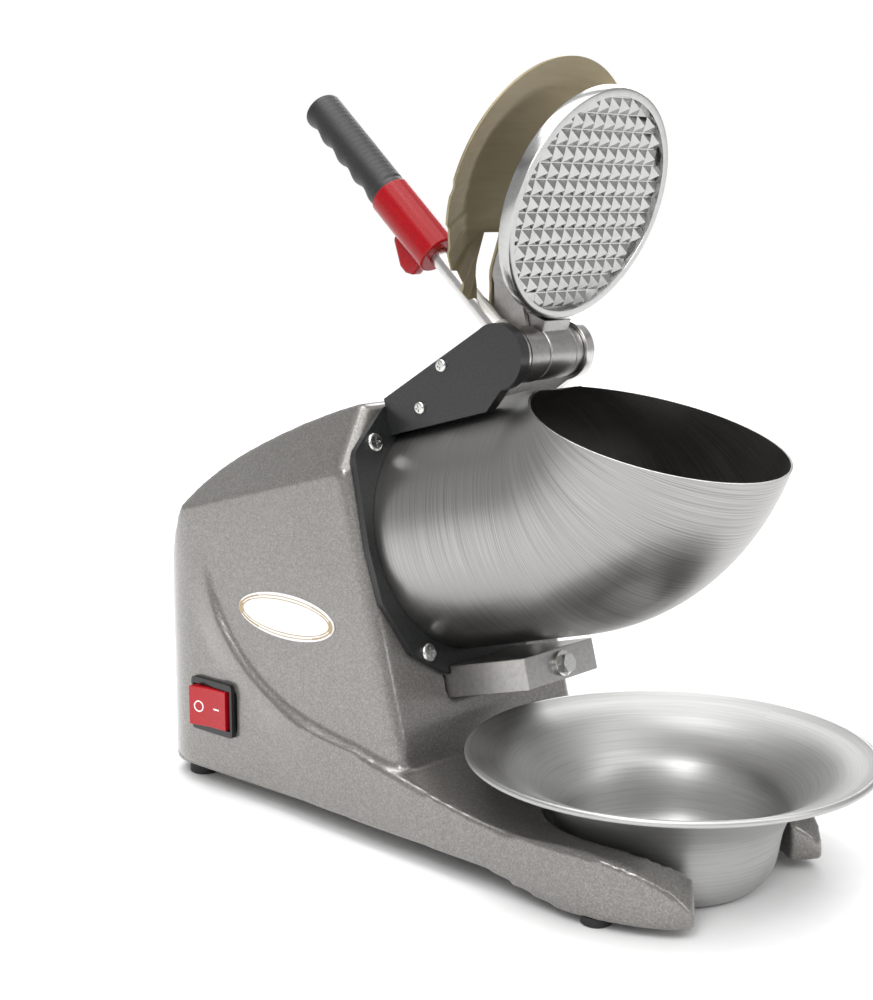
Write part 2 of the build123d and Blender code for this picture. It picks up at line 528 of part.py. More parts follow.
# ---------------------------------------------------------------- press plate on its arm
arm = at_hinge(PLATE_ANGLE)
half_t = PLATE_T / 2
facing = Pos(0, 0, PLATE_REACH) * Rot(90, 0, 0)
press_plate = facing * Cylinder(PLATE_R, PLATE_T)
press_plate = fillet(press_plate.edges(), 1.0)
recess = facing * Pos(0, 0, half_t - PYRAMID_H / 2) * Cylinder(PLATE_R - RIM_WIDTH, PYRAMID_H)
press_plate -= recess
ARM_T = 6.0
plate_arm = block(-8, 8, half_t, half_t + ARM_T, 5, PLATE_REACH + 22)
plate_arm += Pos(0, half_t + ARM_T / 2, PLATE_REACH) * Rot(90, 0, 0) * Cylinder(20, ARM_T)
plate_arm += block(-11, 11, -4, half_t + ARM_T, 0, PLATE_REACH - PLATE_R - 0.6)
plate_arm += x_cylinder(14.5, *HUB_X)
plate_arm -= x_cylinder(PIN_R, -20, 20)
plate_screws = []
for n in range(4):
    spot = Pos(0, 0, PLATE_REACH) * Rot(90, 0, 0) * Rot(0, 0, 45 + 90 * n) * Pos(14, 0, 0)
    plate_arm -= spot * Cylinder(SCREW_SHANK, 60)
    press_plate -= spot * Pos(0, 0, -half_t + 1.4) * Cylinder(SCREW_SHANK, 3)
    plate_screws.append(arm * spot * Pos(0, 0, -half_t - ARM_T) * Rot(180, 0, 0) * pan_screw(8.6, 3.6))

# ---------------------------------------------------------------- splash guard
LID_FLAT_R = 52.0
crown_y = LID_OFFSET - 2 + LID_CROWN
lid_profile = [(0, LID_CROWN), (LID_FLAT_R, LID_CROWN), (LID_R, 0), (LID_R, LID_T),
               (LID_FLAT_R, LID_CROWN + LID_T), (0, LID_CROWN + LID_T)]
lid_disc = revolve(Plane.XZ * make_face(Polyline(*lid_profile, close=True)), Axis.Z)
splash_guard = Pos(0, LID_OFFSET - 2, LID_REACH) * Rot(-90, 0, 0) * lid_disc
SLOT_X = (HANDLE_X - ROD_R - 2.0, EAR_L[0] - 0.2)
SLOT_TOP = 54.0
splash_guard -= block(*SLOT_X, 0, 60, 0, SLOT_TOP)
TAB_T = 2.0
TAB_Z = (30.5, 58.0)


def guard_ear(x0, x1, tab_x0, tab_x1):
    """An ear on the pin, with a tab under the guard."""
    side = [(-4, -13), (14, -8), (crown_y - 9, 12), (crown_y - 3.5, TAB_Z[0] - 3.5),
            (crown_y, TAB_Z[0]), (crown_y, TAB_Z[1]), (crown_y - TAB_T, TAB_Z[1]), (4, 12)]
    ear = prism_x(side, x0, x1) + x_cylinder(14, x0, x1)
    ear += block(tab_x0, tab_x1, crown_y - TAB_T, crown_y, *TAB_Z)
    return ear - x_cylinder(PIN_R + RUNNING_GAP, -60, 60)


ear_left = guard_ear(*EAR_L, EAR_L[0], -1)
ear_right = guard_ear(*EAR_R, EAR_R[0] - 7, EAR_R[1])
guard_rivets = []
for x, z in [(-6, 37), (-6, 52), (7.6, 37), (7.6, 52)]:
    hole = Pos(x, crown_y, z) * Rot(90, 0, 0) * Cylinder(1.5, 20)
    splash_guard -= hole
    ear_left -= hole
    ear_right -= hole
    stem = Cylinder(1.5, LID_T + TAB_T)
    caps = [Pos(0, 0, side * ((LID_T + TAB_T) / 2 + 0.5)) * Cylinder(3, 1) for side in (1, -1)]
    middle = crown_y + (LID_T - TAB_T) / 2
    guard_rivets.append(arm * Pos(x, middle, z) * Rot(90, 0, 0) * (stem + caps))

# ---------------------------------------------------------------- bowl


def bowl_curve(inset):
    """The bowl's side from its foot to its rim, a wall's thickness in when inset."""
    foot = BOWL_FOOT_R - inset * 0.3
    body = BOWL_BODY_R - inset
    lift = inset * 0.7
    return Spline([(foot, BOWL_LOW + inset), (body - 4, 12 + lift), (body, BOWL_BODY_Z + lift),
                   (body + 7, BOWL_BODY_Z + 12 + inset), (BOWL_RIM_R - 21, BOWL_RIM_Z - 9 + inset),
                   (BOWL_RIM_R, BOWL_RIM_Z + inset)])


side_out = bowl_curve(0)
side_in = bowl_curve(BOWL_WALL)
bowl_edges = [side_out, side_in, Line(side_out @ 1, side_in @ 1), Line((0, BOWL_LOW), side_out @ 0),
              Line((0, BOWL_LOW + BOWL_WALL), side_in @ 0), Line((0, BOWL_LOW), (0, BOWL_LOW + BOWL_WALL))]
bowl_face = Plane.XZ * make_face(bowl_edges)
catch_bowl = revolve(bowl_face, Axis.Z)
rim_roll = Plane.XZ * (Pos(BOWL_RIM_R, BOWL_RIM_Z) * Circle(1.8))
catch_bowl = Pos(0, BOWL_Y, 0) * (catch_bowl + revolve(rim_roll, Axis.Z))

# ---------------------------------------------------------------- write the parts
in_place = {
    "housing": housing, "bottom_cover": bottom_cover,
    "bottom_cover_screws": Compound(children=cover_screws),
    "cover_posts": Compound(children=cover_posts),
    "rubber_feet": Compound(children=rubber_feet),
    "run_capacitor": run_capacitor, "capacitor_clip": capacitor_clip,
    "terminal_block": terminal_block, "cable_gland": cable_gland,
    "switch_bezel": switch_bezel, "rocker": rocker, "rocker_pin": rocker_pin,
    "name_badge": name_badge, "hopper": hopper,
    "flange_screws": Compound(children=flange_screws),
    "switch_cover_screws": Compound(children=cover_bolts),
    "bracket_screws": Compound(children=bracket_screws),
    "hinge_pin": hinge_pin, "hinge_washer": hinge_washer, "switch_cam": switch_cam,
    "lever_collar": lever_collar, "lever_rod": lever_rod,
    "plate_screws": Compound(children=plate_screws),
    "guard_rivets": Compound(children=guard_rivets), "catch_bowl": catch_bowl,
}
head_parts = {
    "flange_plate": flange_plate, "ice_chamber": ice_chamber, "discharge_chute": discharge_chute,
    "chute_bolt": chute_bolt, "blade_disc": blade_disc, "cutting_blades": Compound(children=blades),
    "blade_screws": Compound(children=blade_screws), "disc_nut": disc_nut,
    "drive_shaft": drive_shaft, "motor_can": motor_can, "front_bearing": front_bearing,
    "rear_bearing": rear_bearing, "shaft_seal": shaft_seal, "stator": stator, "rotor": rotor,
    "cooling_fan": cooling_fan, "motor_bolts": Compound(children=motor_bolts),
    "hinge_bracket": hinge_bracket, "switch_cover": switch_cover, "limit_switch": limit_switch,
}
handle_parts = {"red_sleeve": red_sleeve, "trigger": trigger, "grip": grip}
arm_parts = {"press_plate": press_plate, "plate_arm": plate_arm, "splash_guard": splash_guard,
             "guard_ear_left": ear_left, "guard_ear_right": ear_right}
for name, shape in in_place.items():
    write(name, shape)
for frame, group in ((HEAD, head_parts), (handle, handle_parts), (arm, arm_parts)):
    for name, shape in group.items():
        write(name, frame * shape)
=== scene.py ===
# %% [markdown]
# # A countertop shaved ice machine
# The machine is a cast housing with a forked base. A motor in the housing turns a blade disc at
# the foot of a tilted steel hopper. A lever swings a waffled press plate into the hopper, and a
# bronze guard follows it down over the mouth. The imported model already holds every part at its
# real size and place, so this lesson is about how each visible part gets its finished surface.

# %% Load the imported model
import bpy
import bmesh
import json
import math
from mathutils import Matrix, Vector, noise

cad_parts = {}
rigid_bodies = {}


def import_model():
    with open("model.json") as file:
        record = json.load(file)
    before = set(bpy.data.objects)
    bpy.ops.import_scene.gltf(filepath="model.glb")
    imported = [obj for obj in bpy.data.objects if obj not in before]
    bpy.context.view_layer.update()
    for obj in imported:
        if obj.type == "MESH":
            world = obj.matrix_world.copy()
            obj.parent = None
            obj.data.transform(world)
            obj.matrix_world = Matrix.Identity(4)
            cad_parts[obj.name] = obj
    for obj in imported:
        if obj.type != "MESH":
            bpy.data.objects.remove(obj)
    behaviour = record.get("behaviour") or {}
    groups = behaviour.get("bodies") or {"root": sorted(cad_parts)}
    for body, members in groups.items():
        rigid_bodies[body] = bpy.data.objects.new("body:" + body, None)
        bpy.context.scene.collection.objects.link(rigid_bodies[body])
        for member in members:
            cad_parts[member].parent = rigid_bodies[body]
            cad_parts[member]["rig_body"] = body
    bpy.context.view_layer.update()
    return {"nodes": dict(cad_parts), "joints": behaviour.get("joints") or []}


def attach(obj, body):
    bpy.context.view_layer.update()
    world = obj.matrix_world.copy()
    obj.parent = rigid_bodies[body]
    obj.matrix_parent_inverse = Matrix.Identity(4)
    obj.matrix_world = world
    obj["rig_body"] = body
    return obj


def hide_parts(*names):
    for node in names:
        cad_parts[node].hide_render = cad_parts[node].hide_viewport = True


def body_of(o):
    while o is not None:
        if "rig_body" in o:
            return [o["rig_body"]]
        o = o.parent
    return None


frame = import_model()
MM = 0.001
NODES = frame["nodes"]

# %% [markdown]
# Two joints fix the frames that most pieces are built in. The cutter's spin axis is the hopper's
# axis, and the lever's hinge is the axis that the hopper bends round. Building a part in its own
# frame keeps its numbers simple: a tube is then a circle and a length, whatever its tilt.

# %% The head frame and the hinge frames
JOINT = {joint["name"]: joint for joint in frame["joints"]}
FLANGE = Vector(JOINT["cutter_spin"]["pos_m"])
ALONG = Vector(JOINT["cutter_spin"]["axis"]).normalized()
ACROSS = Vector((1, 0, 0))
HINGE = Vector(JOINT["lever_hinge"]["pos_m"])


def frame_matrix(origin, x_dir, z_dir):
    """A placement whose x and z run along the given directions."""
    y_dir = z_dir.cross(x_dir)
    matrix = Matrix((x_dir, y_dir, z_dir)).transposed().to_4x4()
    matrix.translation = origin
    return matrix


def at_hinge(angle, x=0.0):
    """z runs out from the hinge axis at an angle above straight ahead, y points behind."""
    a = math.radians(angle)
    out = Vector((0, -math.cos(a), math.sin(a)))
    return frame_matrix(HINGE + Vector((x, 0, 0)), ACROSS, out)


HEAD = frame_matrix(FLANGE, ACROSS, ALONG)
PLATE_ARM = at_hinge(71.0)
HANDLE = at_hinge(138.0, -21.0 * MM)
hinge_in_head = HEAD.inverted() @ HINGE
print("hinge above the hopper axis, mm:", round(hinge_in_head.y / MM, 1))

# %% [markdown]
# ## Stage, camera and lights
# A product like this is shot on a white sweep with soft boxes. The floor is plain and pale. Steel
# shows what stands round it, so the world is white only to the camera's own rays, and reflections
# see a grey room with bright boxes in it. That contrast is what makes metal read as metal.

# %% Floor
floor_mesh = bpy.data.meshes.new("studio_floor")
floor_mesh.from_pydata([(-6, -6, 0), (6, -6, 0), (6, 6, 0), (-6, 6, 0)], [], [(0, 1, 2, 3)])
studio_floor = bpy.data.objects.new("studio_floor", floor_mesh)
bpy.context.scene.collection.objects.link(studio_floor)

# %% Camera
camera_data = bpy.data.cameras.new("product_camera")
camera = bpy.data.objects.new("product_camera", camera_data)
bpy.context.scene.collection.objects.link(camera)
camera_data.lens = 60.4
camera_data.sensor_width = 36.0
camera.location = (-0.6994, -0.5906, 0.3448)
look = Vector((0.7298, 0.6617, -0.1719))
camera.rotation_euler = look.to_track_quat("-Z", "Y").to_euler()
bpy.context.scene.camera = camera


# %% Soft boxes
def soft_box(name, place, aim, size, power):
    """A square area light that faces its aim."""
    light = bpy.data.lights.new(name, "AREA")
    light.shape = "RECTANGLE"
    light.size, light.size_y = size
    light.energy = power
    box = bpy.data.objects.new(name, light)
    bpy.context.scene.collection.objects.link(box)
    box.location = place
    direction = Vector(aim) - Vector(place)
    box.rotation_euler = direction.to_track_quat("-Z", "Y").to_euler()
    return box


CENTRE = (0, 0, 0.2)
soft_box("key_box", (-1.7, -0.7, 1.5), CENTRE, (0.7, 1.3), 17)
soft_box("front_box", (0.5, -1.9, 1.1), CENTRE, (0.5, 1.5), 7)
soft_box("rim_box", (1.6, 0.9, 1.4), CENTRE, (0.7, 1.6), 12)
soft_box("top_box", (-0.2, 0.4, 2.0), CENTRE, (0.9, 1.2), 11)

# %% A wide, even light from above, so that the floor is as pale far off as near by
sky = bpy.data.lights.new("ceiling_glow", "SUN")
sky.energy = 1.95
sky.angle = math.radians(75)
ceiling_glow = bpy.data.objects.new("ceiling_glow", sky)
bpy.context.scene.collection.objects.link(ceiling_glow)
ceiling_glow.rotation_euler = (math.radians(12), math.radians(-10), 0)

# %% World: white to the eye, a grey room to the metal
world = bpy.data.worlds.new("studio_room")
bpy.context.scene.world = world
world.use_nodes = True
tree = world.node_tree
tree.nodes.clear()
place = tree.nodes.new("ShaderNodeTexCoord")
split = tree.nodes.new("ShaderNodeSeparateXYZ")
ramp = tree.nodes.new("ShaderNodeValToRGB")
room = tree.nodes.new("ShaderNodeBackground")
backdrop = tree.nodes.new("ShaderNodeBackground")
path = tree.nodes.new("ShaderNodeLightPath")
choose = tree.nodes.new("ShaderNodeMixShader")
out = tree.nodes.new("ShaderNodeOutputWorld")
tree.links.new(place.outputs["Generated"], split.inputs[0])
tree.links.new(split.outputs["Z"], ramp.inputs["Fac"])
stops = ramp.color_ramp.elements
stops[0].position, stops[0].color = 0.0, (0.75, 0.75, 0.75, 1)
stops[1].position, stops[1].color = 1.0, (0.9, 0.9, 0.9, 1)
for position, shade in ((0.42, 0.72), (0.51, 0.2), (0.58, 0.7), (0.72, 0.95)):
    stop = stops.new(position)
    stop.color = (shade, shade, shade, 1)
tree.links.new(ramp.outputs["Color"], room.inputs["Color"])
room.inputs["Strength"].default_value = 0.75
backdrop.inputs["Color"].default_value = (1, 1, 1, 1)
backdrop.inputs["Strength"].default_value = 1.0
tree.links.new(path.outputs["Is Camera Ray"], choose.inputs["Fac"])
tree.links.new(room.outputs[0], choose.inputs[1])
tree.links.new(backdrop.outputs[0], choose.inputs[2])
tree.links.new(choose.outputs[0], out.inputs["Surface"])
bpy.context.scene.view_settings.view_transform = "Standard"

# %% [markdown]
# ## Finishes
# Most finishes here share three effects: a fine grain or fleck, slow blotches that vary the
# gloss, and edges rubbed brighter. Each effect is one node group with named inputs, made once and
# placed in each material with its own values. Groups only put out numbers, colours and heights.


# %% A helper for node groups
def new_group(name, inputs, outputs):
    """An empty shader group with named sockets; returns it with its in and out nodes."""
    group = bpy.data.node_groups.new(name, "ShaderNodeTree")
    for socket, kind, value in inputs:
        item = group.interface.new_socket(socket, in_out="INPUT", socket_type=kind)
        if value is not None:
            item.default_value = value
    for socket, kind in outputs:
        group.interface.new_socket(socket, in_out="OUTPUT", socket_type=kind)
    return group, group.nodes.new("NodeGroupInput"), group.nodes.new("NodeGroupOutput")


def math_node(group, operation, a, b=None):
    """One math node; a and b are sockets or numbers."""
    node = group.nodes.new("ShaderNodeMath")
    node.operation = operation
    for socket, value in zip(node.inputs, (a, b)):
        if value is None:
            continue
        if isinstance(value, (int, float)):
            socket.default_value = value
        else:
            group.links.new(value, socket)
    return node.outputs[0]


# %% Grain: streaks or specks from stretched noise
grain, g_in, g_out = new_group(
    "grain",
    [("Vector", "NodeSocketVector", None), ("Scale", "NodeSocketFloat", 1.0),
     ("Stretch", "NodeSocketVector", (1, 1, 1)), ("Detail", "NodeSocketFloat", 3.0)],
    [("Value", "NodeSocketFloat"), ("Fine", "NodeSocketFloat")])
stretch = grain.nodes.new("ShaderNodeVectorMath")
stretch.operation = "MULTIPLY"
grain.links.new(g_in.outputs["Vector"], stretch.inputs[0])
grain.links.new(g_in.outputs["Stretch"], stretch.inputs[1])
for socket, factor in (("Value", 1.0), ("Fine", 3.1)):
    streaks = grain.nodes.new("ShaderNodeTexNoise")
    grain.links.new(stretch.outputs[0], streaks.inputs["Vector"])
    grain.links.new(math_node(grain, "MULTIPLY", g_in.outputs["Scale"], factor),
                    streaks.inputs["Scale"])
    grain.links.new(g_in.outputs["Detail"], streaks.inputs["Detail"])
    grain.links.new(streaks.outputs["Fac"], g_out.inputs[socket])

# %% Blotches: slow changes of gloss, as from handling and rinsing
blotches, b_in, b_out = new_group(
    "blotches",
    [("Vector", "NodeSocketVector", None), ("Scale", "NodeSocketFloat", 14.0),
     ("Low", "NodeSocketFloat", 0.3), ("High", "NodeSocketFloat", 0.4)],
    [("Value", "NodeSocketFloat")])
cloud = blotches.nodes.new("ShaderNodeTexNoise")
cloud.inputs["Detail"].default_value = 5.0
spread = blotches.nodes.new("ShaderNodeMapRange")
spread.inputs["From Min"].default_value = 0.3
spread.inputs["From Max"].default_value = 0.7
blotches.links.new(b_in.outputs["Vector"], cloud.inputs["Vector"])
blotches.links.new(b_in.outputs["Scale"], cloud.inputs["Scale"])
blotches.links.new(cloud.outputs["Fac"], spread.inputs["Value"])
blotches.links.new(b_in.outputs["Low"], spread.inputs["To Min"])
blotches.links.new(b_in.outputs["High"], spread.inputs["To Max"])
blotches.links.new(spread.outputs["Result"], b_out.inputs["Value"])

# %% Edge rub: a mask of sharp outer edges, broken up by noise
edge_rub, e_in, e_out = new_group(
    "edge_rub",
    [("Vector", "NodeSocketVector", None), ("Amount", "NodeSocketFloat", 0.5)],
    [("Mask", "NodeSocketFloat")])
shape = edge_rub.nodes.new("ShaderNodeNewGeometry")
breakup = edge_rub.nodes.new("ShaderNodeTexNoise")
breakup.inputs["Scale"].default_value = 160.0
edge_rub.links.new(e_in.outputs["Vector"], breakup.inputs["Vector"])
sharp = edge_rub.nodes.new("ShaderNodeMapRange")
sharp.inputs["From Min"].default_value = 0.53
sharp.inputs["From Max"].default_value = 0.6
edge_rub.links.new(shape.outputs["Pointiness"], sharp.inputs["Value"])
rub = math_node(edge_rub, "MULTIPLY", sharp.outputs["Result"], breakup.outputs["Fac"])
edge_rub.links.new(math_node(edge_rub, "MULTIPLY", rub, e_in.outputs["Amount"]),
                   e_out.inputs["Mask"])


# %% A helper that starts a finish
class Finish:
    """A material being built: its tree, its shader and its surface coordinates."""

    def __init__(self, name, coat=0.0, metallic=0.0, specular=0.5, uv=False):
        self.material = bpy.data.materials.new(name)
        self.material.use_nodes = True
        self.tree = self.material.node_tree
        self.shader = self.tree.nodes["Principled BSDF"]
        self.shader.inputs["Metallic"].default_value = metallic
        self.shader.inputs["Coat Weight"].default_value = coat
        self.shader.inputs["Coat Roughness"].default_value = 0.12
        self.shader.inputs["Specular IOR Level"].default_value = specular
        where = self.tree.nodes.new("ShaderNodeTexCoord")
        self.vector = where.outputs["UV" if uv else "Object"]

    def group(self, group, **values):
        node = self.tree.nodes.new("ShaderNodeGroup")
        node.node_tree = group
        self.tree.links.new(self.vector, node.inputs["Vector"])
        for key, value in values.items():
            node.inputs[key.replace("_", " ")].default_value = value
        return node.outputs

    def ramp(self, factor, stops):
        node = self.tree.nodes.new("ShaderNodeValToRGB")
        elements = node.color_ramp.elements
        while len(elements) < len(stops):
            elements.new(0.5)
        for element, (position, colour) in zip(elements, stops):
            element.position = position
            element.color = (*colour, 1)
        self.tree.links.new(factor, node.inputs["Fac"])
        return node.outputs["Color"]

    def mix(self, factor, a, b):
        node = self.tree.nodes.new("ShaderNodeMix")
        node.data_type = "RGBA"
        self.tree.links.new(factor, node.inputs[0])
        for socket, value in ((node.inputs[6], a), (node.inputs[7], b)):
            if isinstance(value, tuple):
                socket.default_value = (*value, 1)
            else:
                self.tree.links.new(value, socket)
        return node.outputs[2]

    def feed(self, socket, value):
        self.tree.links.new(value, self.shader.inputs[socket])

    def bump(self, height, strength, distance):
        node = self.tree.nodes.new("ShaderNodeBump")
        node.inputs["Strength"].default_value = strength
        node.inputs["Distance"].default_value = distance
        self.tree.links.new(height, node.inputs["Height"])
        self.feed("Normal", node.outputs["Normal"])


# %% [markdown]
# The housing has a hammertone paint: a warm grey lacquer full of metal flakes that dries in
# soft ripples. The flakes are a fine cell pattern that shifts the colour a little, and the
# ripples are a shallow bump at a few millimetres.

# %% Hammertone paint
paint = Finish("hammertone_paint", coat=0.75, metallic=0.6)
paint.shader.inputs["Coat Roughness"].default_value = 0.1
flakes = paint.tree.nodes.new("ShaderNodeTexVoronoi")
flakes.inputs["Scale"].default_value = 1300.0
paint.tree.links.new(paint.vector, flakes.inputs["Vector"])
tone = paint.ramp(flakes.outputs["Color"], [(0.0, (0.155, 0.147, 0.137)),
                                            (0.5, (0.205, 0.196, 0.184)),
                                            (1.0, (0.28, 0.27, 0.255))])
rubbed = paint.group(edge_rub, Amount=0.5)
paint.feed("Base Color", paint.mix(rubbed["Mask"], tone, (0.5, 0.49, 0.47)))
paint.feed("Roughness", paint.group(blotches, Scale=20.0, Low=0.27, High=0.36)["Value"])
ripple = paint.group(grain, Scale=330.0, Detail=2.0)
paint.bump(ripple["Value"], 0.1, 0.0004)


# %% [markdown]
# Brushed steel has streaks one way. On the hopper the streaks run round the tube and fan out
# round its bend, so they follow the piece's own UV map, which holds metres round and metres
# along. Other steel parts use object coordinates, stretched along X.

# %% Brushed and plain steels
def steel(name, shade, roughness, stretch, scale, uv=False, streak=0.28, height=0.00002):
    """Steel with streaks across the stretched direction."""
    finish = Finish(name, metallic=1.0, uv=uv)
    streaks = finish.group(grain, Scale=scale, Stretch=stretch, Detail=4.0)
    dark = tuple(shade[i] * (1 - streak) for i in range(3))
    light = tuple(min(1.0, shade[i] * (1 + streak * 0.7)) for i in range(3))
    colour = finish.ramp(streaks["Value"], [(0.3, dark), (0.5, shade), (0.72, light)])
    finish.feed("Base Color", colour)
    low, high = roughness
    finish.feed("Roughness", finish.group(blotches, Scale=11.0, Low=low, High=high)["Value"])
    finish.bump(streaks["Fine"], 0.25, height)
    return finish.material


hopper_steel = steel("hopper_steel", (0.34, 0.334, 0.327), (0.28, 0.36), (14, 2300, 1), 1.0, uv=True,
                     streak=0.32)
bowl_steel = steel("bowl_steel", (0.45, 0.45, 0.445), (0.38, 0.48), (14, 900, 1), 1.0, uv=True,
                   streak=0.12)
turned_steel = steel("turned_steel", (0.57, 0.56, 0.55), (0.2, 0.3), (60, 6, 6), 22.0, streak=0.1)
plate_steel = steel("plate_steel", (0.44, 0.44, 0.435), (0.16, 0.26), (3, 3, 3), 90.0, streak=0.07)
cast_grey = steel("cast_grey", (0.4, 0.39, 0.38), (0.3, 0.42), (1, 1, 1), 420.0, streak=0.12,
                  height=0.00012)
screw_steel = steel("screw_steel", (0.68, 0.68, 0.66), (0.18, 0.28), (1, 1, 1), 700.0, streak=0.1)


# %% [markdown]
# The plastics and rubbers are dielectric, so their look is a dark base with a soft sheen. A
# moulded surface has a fine leathery texture, and handling polishes it unevenly.

# %% Plastics, rubber and the bronze guard
def moulded(name, base, light, roughness, scale=900.0, height=0.00006, coat=0.0, rub=0.35):
    """A moulded surface: fine texture, uneven polish and slightly paler edges."""
    finish = Finish(name, coat=coat)
    texture = finish.group(grain, Scale=scale, Detail=2.0)
    tone = finish.ramp(texture["Value"], [(0.35, base), (0.65, light)])
    rubbed = finish.group(edge_rub, Amount=rub)
    pale = tuple(min(1.0, c * 1.5 + 0.03) for c in light)
    finish.feed("Base Color", finish.mix(rubbed["Mask"], tone, pale))
    low, high = roughness
    finish.feed("Roughness", finish.group(blotches, Scale=30.0, Low=low, High=high)["Value"])
    finish.bump(texture["Fine"], 0.3, height)
    return finish.material


satin_black = moulded("satin_black", (0.014, 0.014, 0.015), (0.024, 0.024, 0.025), (0.26, 0.34))
black_plate = moulded("black_plate", (0.009, 0.010, 0.010), (0.018, 0.019, 0.019), (0.34, 0.44))
grip_rubber = moulded("grip_rubber", (0.01, 0.01, 0.011), (0.018, 0.018, 0.02), (0.42, 0.52),
                      height=0.0001)
foot_rubber = moulded("foot_rubber", (0.012, 0.012, 0.012), (0.02, 0.02, 0.02), (0.6, 0.75))
gloss_black = moulded("gloss_black", (0.006, 0.006, 0.006), (0.01, 0.01, 0.01), (0.14, 0.22))
handle_red = moulded("handle_red", (0.26, 0.002, 0.005), (0.32, 0.004, 0.008), (0.16, 0.26), rub=0.1)
handle_red.node_tree.nodes["Principled BSDF"].inputs["Specular IOR Level"].default_value = 0.3
rocker_red = moulded("rocker_red", (0.34, 0.003, 0.008), (0.42, 0.006, 0.012), (0.12, 0.2), rub=0.1)
pale_nylon = moulded("pale_nylon", (0.62, 0.61, 0.58), (0.7, 0.69, 0.66), (0.35, 0.45))
mark_white = moulded("mark_white", (0.82, 0.8, 0.8), (0.9, 0.88, 0.88), (0.35, 0.45))
dark_iron = moulded("dark_iron", (0.05, 0.05, 0.052), (0.09, 0.09, 0.092), (0.45, 0.6))

bronze = Finish("bronze_sheet", metallic=0.75, coat=0.1)
brushed = bronze.group(grain, Scale=40.0, Stretch=(1, 8, 8), Detail=3.0)
bronze.feed("Base Color", bronze.ramp(brushed["Value"], [(0.3, (0.265, 0.218, 0.13)),
                                                         (0.7, (0.3, 0.248, 0.15))]))
bronze.feed("Roughness", bronze.group(blotches, Scale=9.0, Low=0.36, High=0.46)["Value"])
bronze.bump(brushed["Fine"], 0.1, 0.00001)
bronze_sheet = bronze.material

floor_finish = Finish("pale_floor", specular=0.2)
speck = floor_finish.group(grain, Scale=60.0, Detail=2.0)
floor_finish.feed("Base Color", floor_finish.ramp(speck["Value"], [(0.3, (0.9, 0.9, 0.9)),
                                                                   (0.7, (0.92, 0.92, 0.92))]))
floor_finish.shader.inputs["Roughness"].default_value = 0.75
floor_mesh.materials.append(floor_finish.material)
print("finishes:", len(bpy.data.materials))

# %% [markdown]
# ## Pieces built for the eye
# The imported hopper, bowl, plate, guard and grip are right in size but coarse in detail. Each gets
# a finer mesh here, built in its own frame from the same few sizes, and then rides its own body.


# %% Helpers that turn points into finished pieces
def add_piece(name, points, faces, finish, stands_for, uvs=None, matrix=None):
    """A closed mesh from points in millimetres, riding the body of the part it stands for."""
    mesh = bpy.data.meshes.new(name)
    place = matrix or Matrix.Identity(4)
    mesh.from_pydata([place @ (Vector(point) * MM) for point in points], [], faces)
    if uvs:
        layer = mesh.uv_layers.new(name="around_along")
        for polygon in mesh.polygons:
            wrap = max(uvs[faces[polygon.index][k]][0] for k in range(len(polygon.vertices)))
            for k, corner in enumerate(polygon.loop_indices):
                u, v = uvs[faces[polygon.index][k]]
                turn = uvs["turn"]
                layer.data[corner].uv = (u + turn if wrap - u > turn / 2 else u, v)
    tidy = bmesh.new()
    tidy.from_mesh(mesh)
    bmesh.ops.remove_doubles(tidy, verts=tidy.verts, dist=0.000002)
    bmesh.ops.recalc_face_normals(tidy, faces=tidy.faces)
    tidy.to_mesh(mesh)
    tidy.free()
    mesh.materials.append(finish)
    mesh.shade_smooth()
    piece = bpy.data.objects.new(name, mesh)
    bpy.context.scene.collection.objects.link(piece)
    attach(piece, body_of(NODES[stands_for[0]])[0])
    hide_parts(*stands_for)
    return piece


def grid_faces(rows, columns):
    """Quads over a grid whose columns and rows both close on themselves."""
    faces = []
    for i in range(rows):
        for j in range(columns):
            k = (i + 1) % rows
            m = (j + 1) % columns
            faces.append((i * columns + j, i * columns + m, k * columns + m, k * columns + j))
    return faces


def sharpen(piece, degrees=35):
    """Splits the shading where the surface turns more than this."""
    piece.data.set_sharp_from_angle(angle=math.radians(degrees))


def smooth_path(points, steps=8):
    """A curve through the given points, as a list of points."""
    path = []
    for i in range(len(points) - 1):
        a = Vector(points[max(i - 1, 0)])
        b, c = Vector(points[i]), Vector(points[i + 1])
        d = Vector(points[min(i + 2, len(points) - 1)])
        for s in range(steps):
            t = s / steps
            path.append(0.5 * (2 * b + (c - a) * t + (2 * a - 5 * b + 4 * c - d) * t * t
                               + (3 * b - a - 3 * c + d) * t ** 3))
    return path + [Vector(points[-1])]


def turned(profile, columns, shape=lambda angle: 1.0):
    """Points and UVs of a closed (radius, height) profile turned about z."""
    points, uvs, run = [], {"turn": 2 * math.pi * 0.1}, 0.0
    for i, (radius, height) in enumerate(profile):
        if i:
            run += math.dist(profile[i - 1], profile[i]) * MM
        for j in range(columns):
            angle = 2 * math.pi * j / columns
            r = radius * shape(angle)
            uvs[len(points)] = (angle * 0.1, run)
            points.append((r * math.cos(angle), r * math.sin(angle), height))
    return points, uvs


# %% [markdown]
# ### Hopper
# A rolled stainless tube, bent forwards about the lever's hinge and cut by a sloping plane. Every
# line along the tube runs straight and then round the hinge until it meets the mouth, so the
# rim comes out exact without a cut. Near the hinge the mouth is scooped to clear the barrel.

# %% Hopper shell
HOPPER_R, HOPPER_WALL, STRAIGHT, BEND_R = 67.0, 1.2, 84.0, 85.0
MOUTH_TURN, MOUTH_DROP, RELIEF_R = math.radians(30), 15.5, 21.0
HOPPER_ROWS, HOPPER_COLUMNS = 56, 180


